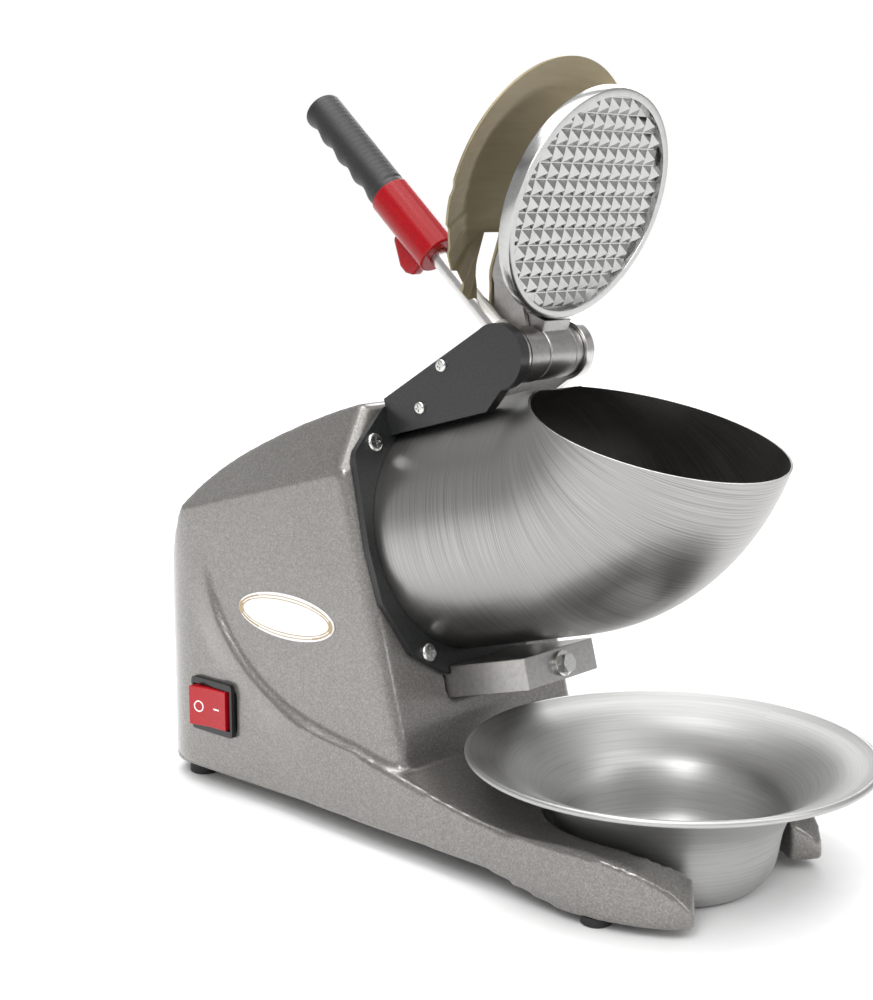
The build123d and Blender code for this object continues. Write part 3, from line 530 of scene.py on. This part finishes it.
def hopper_line(angle, radius, rows):
    """Points down one line of the tube, from the flange to the mouth, with their UVs."""
    x, up = radius * math.sin(angle), radius * math.cos(angle)
    swing = BEND_R - up
    straight, bend = STRAIGHT, math.acos(MOUTH_DROP / swing) - MOUTH_TURN
    if swing < RELIEF_R:
        straight, bend = STRAIGHT - math.sqrt(RELIEF_R ** 2 - swing ** 2), 0.0
    length = straight + 4.0 + swing * bend
    line = []
    for row in range(rows):
        run = length * row / (rows - 1) - 4.0
        theta = max(0.0, run - straight) / swing
        along = min(run, straight)
        point = (x, BEND_R - swing * math.cos(theta), along + swing * math.sin(theta))
        line.append((point, (angle * HOPPER_R * MM, (along + BEND_R * theta) * MM)))
    return line


step = math.acos((BEND_R - RELIEF_R) / HOPPER_R)
angles = [2 * math.pi * j / HOPPER_COLUMNS for j in range(HOPPER_COLUMNS)]
angles += [side * step + nudge for side in (1, -1) for nudge in (-0.0004, 0.0004)]
angles = sorted(angle % (2 * math.pi) for angle in angles)
outside = [hopper_line(angle, HOPPER_R, HOPPER_ROWS) for angle in angles]
inside = [hopper_line(angle, HOPPER_R - HOPPER_WALL, HOPPER_ROWS) for angle in angles]
collar = [[(71.5, -4.0), (71.5, -2.5), (HOPPER_R, -2.5)] for angle in angles]
points, uvs = [], {"turn": 2 * math.pi * HOPPER_R * MM}
for radius, along in collar[0]:
    for angle in angles:
        uvs[len(points)] = (angle * HOPPER_R * MM, along * MM)
        points.append((radius * math.sin(angle), radius * math.cos(angle), along))
for shell, rows in ((outside, range(1, HOPPER_ROWS)), (inside, range(HOPPER_ROWS - 1, -1, -1))):
    for row in rows:
        for line in shell:
            uvs[len(points)] = line[row][1]
            points.append(line[row][0])
hopper_shell = add_piece("hopper_shell", points, grid_faces(len(points) // len(angles), len(angles)),
                         hopper_steel, ["hopper"], uvs, HEAD)
sharpen(hopper_shell)
print("hopper faces:", len(hopper_shell.data.polygons))

# %% [markdown]
# ### Bowl
# A spun steel bowl: a flat foot, a body that drops between the prongs, and a wide flared brim
# with its edge rolled over a wire. It is one closed profile turned about its middle.

# %% Spun bowl
BOWL_Y, BOWL_WALL, RIM = -120.1, 1.2, (105.0, 67.0)
outer = smooth_path([(0.01, 0.5), (30, 0.5), (44, 0.5), (50, 4.0), (55.5, 12), (59.5, 32),
                     (66.5, 44), (84, 58), (103.4, 66.2)], 6)
inner = [(max(r - 1.1, 0.02), z + BOWL_WALL) for r, z in outer[:-1]]
roll = [(RIM[0] + 1.8 * math.cos(math.radians(a)), RIM[1] + 1.8 * math.sin(math.radians(a)))
        for a in range(205, 505, 20)]
profile = [tuple(p) for p in outer] + roll + inner[::-1]
points, uvs = turned(profile, 144)
spun_bowl = add_piece("spun_bowl", points, grid_faces(len(profile), 144), bowl_steel,
                      ["catch_bowl"], uvs, Matrix.Translation((0, BOWL_Y * MM, 0)))
print("bowl faces:", len(spun_bowl.data.polygons))

# %% [markdown]
# ### Press plate
# A cast disc with a raised rim, filled with square pyramids that bite into the ice. The pyramids
# repeat, so Geometry Nodes places them: a grid of points, a selection by reach, one cone with
# four sides on each point.

# %% Pyramid field
PLATE_R, PLATE_T, PLATE_REACH, RIM_WIDTH = 61.5, 8.0, 82.0, 4.5
field = bpy.data.node_groups.new("pyramid_field", "GeometryNodeTree")
for socket, kind, way in (("Geometry", "NodeSocketGeometry", "OUTPUT"),
                          ("Pitch", "NodeSocketFloat", "INPUT"),
                          ("Height", "NodeSocketFloat", "INPUT"),
                          ("Reach", "NodeSocketFloat", "INPUT"),
                          ("Count", "NodeSocketInt", "INPUT"),
                          ("Finish", "NodeSocketMaterial", "INPUT")):
    field.interface.new_socket(socket, in_out=way, socket_type=kind)
f_in, f_out = field.nodes.new("NodeGroupInput"), field.nodes.new("NodeGroupOutput")
dots = field.nodes.new("GeometryNodeMeshGrid")
span = math_nodes = field.nodes.new("ShaderNodeMath")
span.operation = "MULTIPLY"
less = field.nodes.new("ShaderNodeMath")
less.operation = "SUBTRACT"
less.inputs[1].default_value = 1
half = field.nodes.new("ShaderNodeMath")
half.operation = "MULTIPLY"
half.inputs[1].default_value = math.sqrt(0.5) * 0.94
cone = field.nodes.new("GeometryNodeMeshCone")
cone.inputs["Vertices"].default_value = 4
cone.inputs["Radius Top"].default_value = 0.0
spot = field.nodes.new("GeometryNodeInputPosition")
reach = field.nodes.new("ShaderNodeVectorMath")
reach.operation = "LENGTH"
within = field.nodes.new("FunctionNodeCompare")
within.operation = "LESS_THAN"
stand = field.nodes.new("GeometryNodeInstanceOnPoints")
stand.inputs["Rotation"].default_value = (0, 0, math.pi / 4)
solid = field.nodes.new("GeometryNodeRealizeInstances")
colour = field.nodes.new("GeometryNodeSetMaterial")
for a, b in ((f_in.outputs["Count"], less.inputs[0]), (less.outputs[0], span.inputs[0]),
             (f_in.outputs["Pitch"], span.inputs[1]), (span.outputs[0], dots.inputs["Size X"]),
             (span.outputs[0], dots.inputs["Size Y"]), (f_in.outputs["Count"], dots.inputs["Vertices X"]),
             (f_in.outputs["Count"], dots.inputs["Vertices Y"]), (f_in.outputs["Pitch"], half.inputs[0]),
             (half.outputs[0], cone.inputs["Radius Bottom"]), (f_in.outputs["Height"], cone.inputs["Depth"]),
             (spot.outputs[0], reach.inputs[0]), (reach.outputs["Value"], within.inputs["A"]),
             (f_in.outputs["Reach"], within.inputs["B"]), (dots.outputs["Mesh"], stand.inputs["Points"]),
             (within.outputs[0], stand.inputs["Selection"]), (cone.outputs["Mesh"], stand.inputs["Instance"]),
             (stand.outputs[0], solid.inputs[0]), (solid.outputs[0], colour.inputs["Geometry"]),
             (f_in.outputs["Finish"], colour.inputs["Material"]), (colour.outputs[0], f_out.inputs[0])):
    field.links.new(a, b)


# %% Press plate: the turned disc joined with its pyramids
def from_nodes(group, values):
    """The mesh that a Geometry Nodes group makes with these inputs."""
    holder = bpy.data.objects.new("holder", bpy.data.meshes.new("holder"))
    bpy.context.scene.collection.objects.link(holder)
    modifier = holder.modifiers.new("nodes", "NODES")
    modifier.node_group = group
    for item in group.interface.items_tree:
        if item.in_out == "INPUT":
            modifier[item.identifier] = values[item.name]
    mesh = bpy.data.meshes.new_from_object(
        holder.evaluated_get(bpy.context.evaluated_depsgraph_get()))
    bpy.data.objects.remove(holder)
    return mesh


PYRAMID_H, PITCH = 3.4, 8.6
floor_r = PLATE_R - RIM_WIDTH
disc = [(0.02, -PLATE_T), (PLATE_R - 1, -PLATE_T), (PLATE_R - 0.3, -PLATE_T + 0.3),
        (PLATE_R, -PLATE_T + 1), (PLATE_R, -1), (PLATE_R - 0.3, -0.3), (PLATE_R - 1, 0),
        (floor_r + 0.7, 0), (floor_r + 0.2, -0.2), (floor_r, -0.7), (floor_r, -PYRAMID_H), (0.02, -PYRAMID_H)]
points, uvs = turned(disc, 128)
to_plate = PLATE_ARM @ Matrix.Translation((0, -PLATE_T / 2 * MM, PLATE_REACH * MM))
to_plate = to_plate @ Matrix.Rotation(math.pi / 2, 4, "X")
waffle_plate = add_piece("waffle_plate", points, grid_faces(len(disc), 128), plate_steel,
                         ["press_plate"], None, to_plate)
sharpen(waffle_plate, 40)
pyramids = from_nodes(field, {"Pitch": PITCH * MM, "Height": PYRAMID_H * MM, "Count": 15,
                              "Reach": (floor_r - 1.9) * MM, "Finish": plate_steel})
pyramids.transform(to_plate @ Matrix.Translation((0, 0, -PYRAMID_H * MM)))
pyramids.shade_flat()
whole = bmesh.new()
whole.from_mesh(waffle_plate.data)
whole.from_mesh(pyramids)
whole.to_mesh(waffle_plate.data)
whole.free()
print("pyramids:", len(pyramids.polygons) // 5, "plate faces:", len(waffle_plate.data.polygons))

# %% [markdown]
# ### Splash guard
# A pressed bronze-coloured dish that closes the mouth behind the plate. Its rim has small steps
# where the pressing was trimmed, and a slot lets the lever's rod pass through as it lags behind.

# %% Splash guard
LID_R, LID_FLAT_R, LID_CROWN, LID_T, LID_REACH, LID_BACK = 70.0, 52.0, 7.0, 1.6, 80.0, 30.0
STEPS = ((102, 120, 2.8), (127, 141, 3.4), (150, 164, 1.8), (176, 183, 1.2), (318, 352, 2.4))


def guard_rim(angle):
    """How far the trimmed rim reaches, as a share of its radius."""
    turn = math.degrees(angle) % 360
    cut = 0.0
    for start, end, depth in STEPS:
        inside = min(turn - start, end - turn) / 2.5
        cut = max(cut, depth * min(1.0, max(0.0, inside)))
    return 1 - cut / LID_R


dish = [(0.02, LID_CROWN), (LID_FLAT_R - 3, LID_CROWN), (LID_FLAT_R, LID_CROWN - 0.3),
        (LID_FLAT_R + 3, LID_CROWN - 1.2), (LID_R - 1.5, 0.6), (LID_R - 0.3, 0.1), (LID_R, 0.6),
        (LID_R - 0.1, LID_T - 0.3), (LID_R - 0.7, LID_T + 0.1), (LID_FLAT_R + 3.4, LID_CROWN + 0.4),
        (LID_FLAT_R, LID_CROWN + LID_T - 0.2), (LID_FLAT_R - 3, LID_CROWN + LID_T), (0.02, LID_CROWN + LID_T)]
points, uvs = turned(dish, 360, guard_rim)
to_guard = PLATE_ARM @ Matrix.Translation((0, LID_BACK * MM, LID_REACH * MM))
to_guard = to_guard @ Matrix.Rotation(-math.pi / 2, 4, "X")
bronze_guard = add_piece("bronze_guard", points, grid_faces(len(dish), 360), bronze_sheet,
                         ["splash_guard"], None, to_guard)
SLOT = ((-28.5, -14.4), (0.0, 60.0), (-1.0, 54.0))
cutter = bpy.data.meshes.new("slot_cutter")
corners = [(x, y, z) for x in SLOT[0] for y in SLOT[1] for z in SLOT[2]]
cutter.from_pydata([PLATE_ARM @ (Vector(c) * MM) for c in corners], [],
                   [(0, 1, 3, 2), (4, 6, 7, 5), (0, 4, 5, 1), (2, 3, 7, 6), (0, 2, 6, 4), (1, 5, 7, 3)])
slot_cutter = bpy.data.objects.new("slot_cutter", cutter)
bpy.context.scene.collection.objects.link(slot_cutter)
slot_cut = bronze_guard.modifiers.new("slot", "BOOLEAN")
slot_cut.object = slot_cutter
slot_cut.solver = "EXACT"
cut_mesh = bpy.data.meshes.new_from_object(
    bronze_guard.evaluated_get(bpy.context.evaluated_depsgraph_get()))
bronze_guard.modifiers.clear()
bronze_guard.data = cut_mesh
bpy.data.objects.remove(slot_cutter)
sharpen(bronze_guard, 32)
print("guard faces:", len(bronze_guard.data.polygons))

# %% [markdown]
# ### Grip
# A rubber sleeve pulled over the rod, with a round nose, a thicker collar where it meets the red
# sleeve, and four shallow finger waves on the side that the fingers close on.

# %% Rubber grip
GRIP_START, GRIP_END, GRIP_R = 124.0, 198.0, 11.0
GRIP_ROWS, GRIP_COLUMNS = 90, 72
points = []
for row in range(GRIP_ROWS):
    along = row / (GRIP_ROWS - 1)
    z = GRIP_START + (GRIP_END - GRIP_START) * along
    nose = max(0.0, (z - (GRIP_END - 5)) / 5)
    body_r = GRIP_R * math.sqrt(max(0.0, 1 - 0.8 * nose ** 2.4)) - 0.35 * (2 < z - GRIP_START < 3.4)
    wave = 0.5 - 0.5 * math.cos(2 * math.pi * (z - GRIP_START - 5) / 16)
    held = 5 < z - GRIP_START < 69
    for column in range(GRIP_COLUMNS):
        angle = 2 * math.pi * column / GRIP_COLUMNS
        finger = max(0.0, math.sin(angle)) ** 1.5 * wave * 2.4 * held
        ribs = 0.1 * (0.5 + 0.5 * math.cos(2 * math.pi * z / 3.2)) * held * (math.sin(angle) < -0.2)
        r = body_r - finger - ribs
        points.append((r * math.cos(angle), r * math.sin(angle), z))
faces = [face for face in grid_faces(GRIP_ROWS, GRIP_COLUMNS)
         if not (face[0] >= (GRIP_ROWS - 1) * GRIP_COLUMNS)]
faces.append(tuple(range(GRIP_COLUMNS)))
faces.append(tuple((GRIP_ROWS - 1) * GRIP_COLUMNS + k for k in range(GRIP_COLUMNS)))
soft_grip = add_piece("soft_grip", points, faces, grip_rubber, ["grip"], None, HANDLE)
sharpen(soft_grip, 50)
print("grip faces:", len(soft_grip.data.polygons))

# %% [markdown]
# ### Badge and rocker marks
# The oval badge is a pale plate with two thin tan lines pressed into its edge, and no wording.
# The rocker has the usual ring and bar for off and on, filled with white.

# %% Oval badge
BADGE = (39.0, 13.0, 1.0)
tan_line = moulded("tan_line", (0.36, 0.27, 0.15), (0.42, 0.32, 0.19), (0.35, 0.45))
ovals = [(0.02, 0.0), (39, 0.0), (39, 0.7), (38.6, 0.95), (37.9, 1.0), (37.6, 0.9), (37.0, 0.9),
         (36.7, 0.8), (36.0, 0.8), (35.8, 0.9), (35.2, 0.9), (35.0, 0.8), (0.02, 0.85)]
points = []
for radius, height in ovals:
    inset = BADGE[0] - radius
    for column in range(120):
        angle = 2 * math.pi * column / 120
        share = (BADGE[1] - inset) / radius if radius > 30 else 1 / 3
        points.append((radius * math.cos(angle), radius * share * math.sin(angle), height))
to_badge = frame_matrix(Vector((-76, 88.9, 118)) * MM, Vector((0, -1, 0)), Vector((-1, 0, 0)))
oval_badge = add_piece("oval_badge", points, grid_faces(len(ovals), 120), mark_white,
                       ["name_badge"], None, to_badge)
oval_badge.data.materials.append(tan_line)
for polygon in oval_badge.data.polygons:
    middle = to_badge.inverted() @ polygon.center
    inset = min(abs(BADGE[0] - abs(middle.x) / MM), 99) if abs(middle.y) < 0.0005 else None
    reach = math.sqrt((middle.x / MM / 37.3) ** 2 + (middle.y / MM / 11.3) ** 2)
    inner_reach = math.sqrt((middle.x / MM / 35.5) ** 2 + (middle.y / MM / 9.5) ** 2)
    polygon.material_index = int(middle.z > 0.0006 and (abs(reach - 1) < 0.03 or abs(inner_reach - 1) < 0.022))
sharpen(oval_badge, 40)

# %% Rocker marks
ring_points, _ = turned([(3.1 + 0.42 * math.cos(a * math.pi / 4), 0.3 * math.sin(a * math.pi / 4))
                         for a in range(8)], 40)
ring_faces = grid_faces(8, 40)
SWITCH = (151.9, 53.0)
lean = math.atan2(3.3, 14)
face_out = Vector((-math.cos(lean), -math.sin(lean), 0))
ring_place = frame_matrix(Vector((-82.85, SWITCH[0] + 7, SWITCH[1])) * MM, Vector((0, 0, 1)), face_out)
bar_place = frame_matrix(Vector((-80.87, SWITCH[0] - 6.5, SWITCH[1])) * MM, Vector((0, 0, 1)),
                         Vector((-1, 0, 0)))
bar_points = [(x, y, z) for x in (-0.45, 0.45) for y in (-2.3, 2.3) for z in (-0.3, 0.3)]
bar_faces = [(0, 1, 3, 2), (4, 6, 7, 5), (0, 4, 5, 1), (2, 3, 7, 6), (0, 2, 6, 4), (1, 5, 7, 3)]
flip = ring_place.inverted() @ bar_place
marks = ring_points + [tuple((flip @ (Vector(p) * MM)) / MM) for p in bar_points]
mark_faces = ring_faces + [tuple(len(ring_points) + k for k in face) for face in bar_faces]
rocker_marks = bpy.data.meshes.new("rocker_marks")
rocker_marks.from_pydata([ring_place @ (Vector(p) * MM) for p in marks], [], mark_faces)
tidy = bmesh.new()
tidy.from_mesh(rocker_marks)
bmesh.ops.recalc_face_normals(tidy, faces=tidy.faces)
tidy.to_mesh(rocker_marks)
tidy.free()
rocker_marks.materials.append(mark_white)
marks_piece = bpy.data.objects.new("rocker_marks", rocker_marks)
bpy.context.scene.collection.objects.link(marks_piece)
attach(marks_piece, body_of(NODES["rocker"])[0])
print("badge and marks:", len(oval_badge.data.polygons), len(rocker_marks.polygons))

# %% [markdown]
# ### Housing
# One aluminium casting: the body and the forked base together. A casting has no sharp edge
# anywhere, and thick paint softens it further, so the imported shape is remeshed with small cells
# and smoothed. Its thin prong tips are filled first, so that they survive the cells. A rolled
# crease then sweeps down each flank, where the base panel rises out of it.

# %% Housing casting
CREASE_TOP, CREASE_KNEE, CREASE_FOOT = (160, 150), (142, 58), (20, 52)
RISE, LIP, FADE = 3.4, 1.8, 26.0


def crease_spot(t):
    """A spot on the crease, which falls steeply from its top and then runs level to its foot."""
    return Vector([(1 - t) ** 2 * a + 2 * t * (1 - t) * b + t * t * c
                   for a, b, c in zip(CREASE_TOP, CREASE_KNEE, CREASE_FOOT)] + [0])


crease = [crease_spot(n / 12) for n in range(13)]


def below_crease(y, z):
    """Distance to the crease, positive on the base's side, and how far along it the spot is."""
    best, side, run = 1e9, 1.0, 0.0
    spot = Vector((y, z, 0))
    for i in range(len(crease) - 1):
        a, b = crease[i], crease[i + 1]
        share = max(0.0, min(1.0, (spot - a).dot(b - a) / (b - a).length_squared))
        gap = spot - (a + (b - a) * share)
        if gap.length < best:
            best = gap.length
            side = 1.0 if (b - a).cross(gap).z > 0 else -1.0
            run = (i + share) / (len(crease) - 1)
    return best * side, run


def ease(t):
    """A smooth step from 0 to 1."""
    t = max(0.0, min(1.0, t))
    return t * t * (3 - 2 * t)


source = bpy.data.objects.new("casting_source", NODES["housing"].data.copy())
bpy.context.scene.collection.objects.link(source)
TIP_Y = -150.0
solid_tips = bmesh.new()
solid_tips.from_mesh(source.data)
for side in (1, -1):
    tip = [solid_tips.verts.new(vertex.co) for vertex in list(solid_tips.verts)
           if vertex.co.y < TIP_Y * MM and vertex.co.x * side > 0]
    bmesh.ops.convex_hull(solid_tips, input=tip)
solid_tips.to_mesh(source.data)
solid_tips.free()
joined = source.modifiers.new("join", "WELD")
joined.merge_threshold = 0.00001
cells = source.modifiers.new("cells", "REMESH")
cells.mode = "VOXEL"
cells.voxel_size = 0.0019
relax = source.modifiers.new("relax", "SMOOTH")
relax.factor = 0.5
relax.iterations = 5
casting_mesh = bpy.data.meshes.new_from_object(
    source.evaluated_get(bpy.context.evaluated_depsgraph_get()))
bpy.data.objects.remove(source)
for vertex in casting_mesh.vertices:
    x, y, z = vertex.co / MM
    if abs(x) < 73.5 or y > 181 or z > 158:
        continue
    gap, run = below_crease(y, z)
    if gap < -LIP or gap > FADE:
        continue
    lift = RISE * ease((gap + LIP) / (2 * LIP)) * ease((FADE - gap) / (FADE - LIP))
    lift *= ease(run / 0.3) * ease((1 - run) / 0.08) * ease((80.4 - abs(x)) / 3)
    vertex.co.x += math.copysign(lift * MM, x)
casting_mesh.name = "painted_casting"
casting_mesh.materials.clear()
casting_mesh.materials.append(paint.material)
casting_mesh.shade_smooth()
painted_casting = bpy.data.objects.new("painted_casting", casting_mesh)
bpy.context.scene.collection.objects.link(painted_casting)
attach(painted_casting, body_of(NODES["housing"])[0])
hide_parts("housing")
print("casting faces:", len(casting_mesh.polygons))

# %% [markdown]
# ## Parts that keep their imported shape
# Machined and moulded parts already have their true shape. What they lack is the small radius
# that every real edge has, which is what catches a line of light. A weld and a bevel modifier
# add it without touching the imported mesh.

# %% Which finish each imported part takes
WEARS = {
    "bottom_cover": "hammertone_paint", "motor_can": "black_plate", "flange_plate": "black_plate",
    "switch_cover": "satin_black", "hinge_washer": "satin_black", "switch_bezel": "gloss_black",
    "cable_gland": "satin_black", "cooling_fan": "satin_black", "capacitor_clip": "satin_black",
    "limit_switch": "satin_black", "rocker_pin": "satin_black", "rocker": "rocker_red",
    "rubber_feet": "foot_rubber", "shaft_seal": "foot_rubber", "red_sleeve": "handle_red",
    "trigger": "handle_red", "terminal_block": "pale_nylon",
    "switch_cam": "pale_nylon", "stator": "dark_iron", "rotor": "dark_iron",
    "hinge_bracket": "turned_steel", "hinge_pin": "turned_steel", "lever_rod": "turned_steel",
    "drive_shaft": "turned_steel", "front_bearing": "turned_steel", "rear_bearing": "turned_steel",
    "cutting_blades": "plate_steel", "disc_nut": "screw_steel", "blade_screws": "screw_steel",
    "motor_bolts": "screw_steel", "bottom_cover_screws": "screw_steel", "chute_bolt": "screw_steel",
    "flange_screws": "screw_steel", "switch_cover_screws": "screw_steel",
    "bracket_screws": "screw_steel", "plate_screws": "screw_steel", "guard_rivets": "screw_steel",
    "guard_ear_left": "cast_grey", "guard_ear_right": "cast_grey",
    "lever_collar": "cast_grey", "plate_arm": "cast_grey", "blade_disc": "cast_grey",
    "ice_chamber": "cast_grey", "discharge_chute": "cast_grey", "cover_posts": "cast_grey",
    "run_capacitor": "screw_steel",
}
EDGE = {"switch_cover": 0.8, "flange_plate": 0.5, "hinge_bracket": 0.5, "lever_collar": 0.6,
        "plate_arm": 1.0, "discharge_chute": 1.0, "trigger": 1.7, "red_sleeve": 0.6, "rocker": 0.5, "switch_bezel": 0.4}
for name, finish in WEARS.items():
    part = NODES[name]
    part.data.materials.clear()
    part.data.materials.append(bpy.data.materials[finish])
    weld = part.modifiers.new("weld", "WELD")
    weld.merge_threshold = 0.00001
    soften = part.modifiers.new("soften", "BEVEL")
    soften.width = EDGE.get(name, 0.25) * MM
    soften.segments = 2
    soften.limit_method = "ANGLE"
    soften.angle_limit = math.radians(40)
    even = part.modifiers.new("even", "WEIGHTED_NORMAL")
    even.weight = 80
    part.data.shade_smooth()
print("dressed:", len(WEARS), "of", len(NODES))
